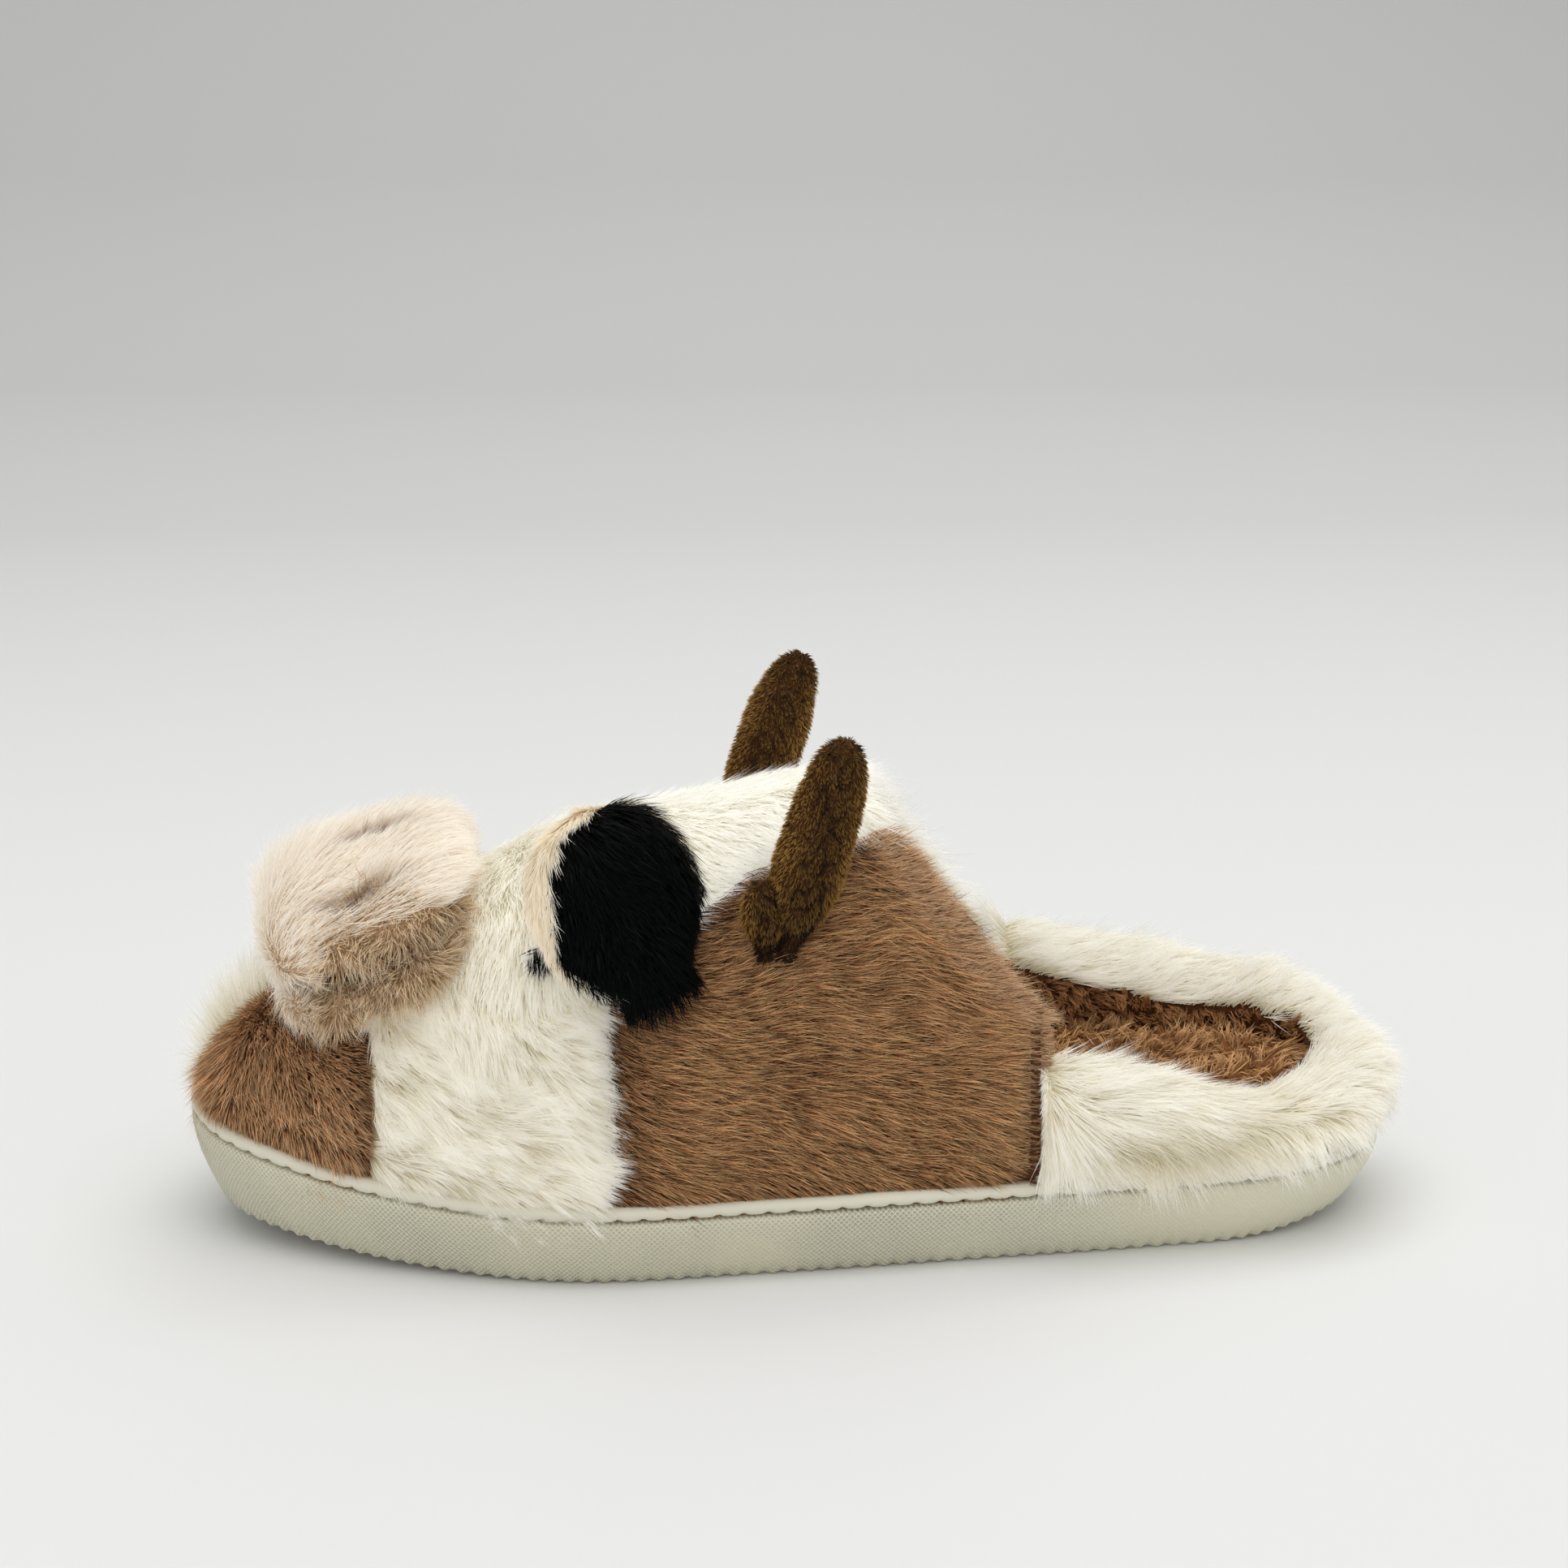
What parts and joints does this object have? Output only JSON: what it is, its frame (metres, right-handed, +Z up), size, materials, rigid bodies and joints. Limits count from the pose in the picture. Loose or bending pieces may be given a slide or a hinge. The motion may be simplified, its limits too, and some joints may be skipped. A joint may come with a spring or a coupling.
{
  "type": "plush slide slipper",
  "caption": "Furry slide slipper for the left foot, with a cow-like face on the closed toe, a low furry heel collar and a moulded foam sole.",
  "frame": {"origin": "middle of the sole's length, on its centre line, at the height of the flat tread", "axes": "-X towards the toe, +X towards the heel, -Y towards the outer side of the left foot, +Z up"},
  "size_m": [0.2679, 0.1273, 0.1171],
  "materials": {
    "sole": "satin",
    "welt": "satin",
    "upper": "matt",
    "heel_collar": "matt",
    "insole": "matt",
    "muzzle": "matt",
    "ear_back_outer": "matt",
    "ear_back_inner": "matt",
    "ear_front_outer": "matt",
    "ear_front_inner": "matt",
    "horn_outer": "matt",
    "horn_inner": "matt",
    "eye_outer": "matt",
    "eye_inner": "matt"
  },
  "bodies": {
    "root": {"sole": "sole", "welt": "welt", "upper": "upper", "heel_collar": "heel_collar", "insole": "insole", "muzzle": "muzzle", "ear_back_outer": "ear_back_outer", "ear_back_inner": "ear_back_inner", "ear_front_outer": "ear_front_outer", "ear_front_inner": "ear_front_inner", "horn_outer": "horn_outer", "horn_inner": "horn_inner", "eye_outer": "eye_outer", "eye_inner": "eye_inner"}
  },
  "joints": []
}
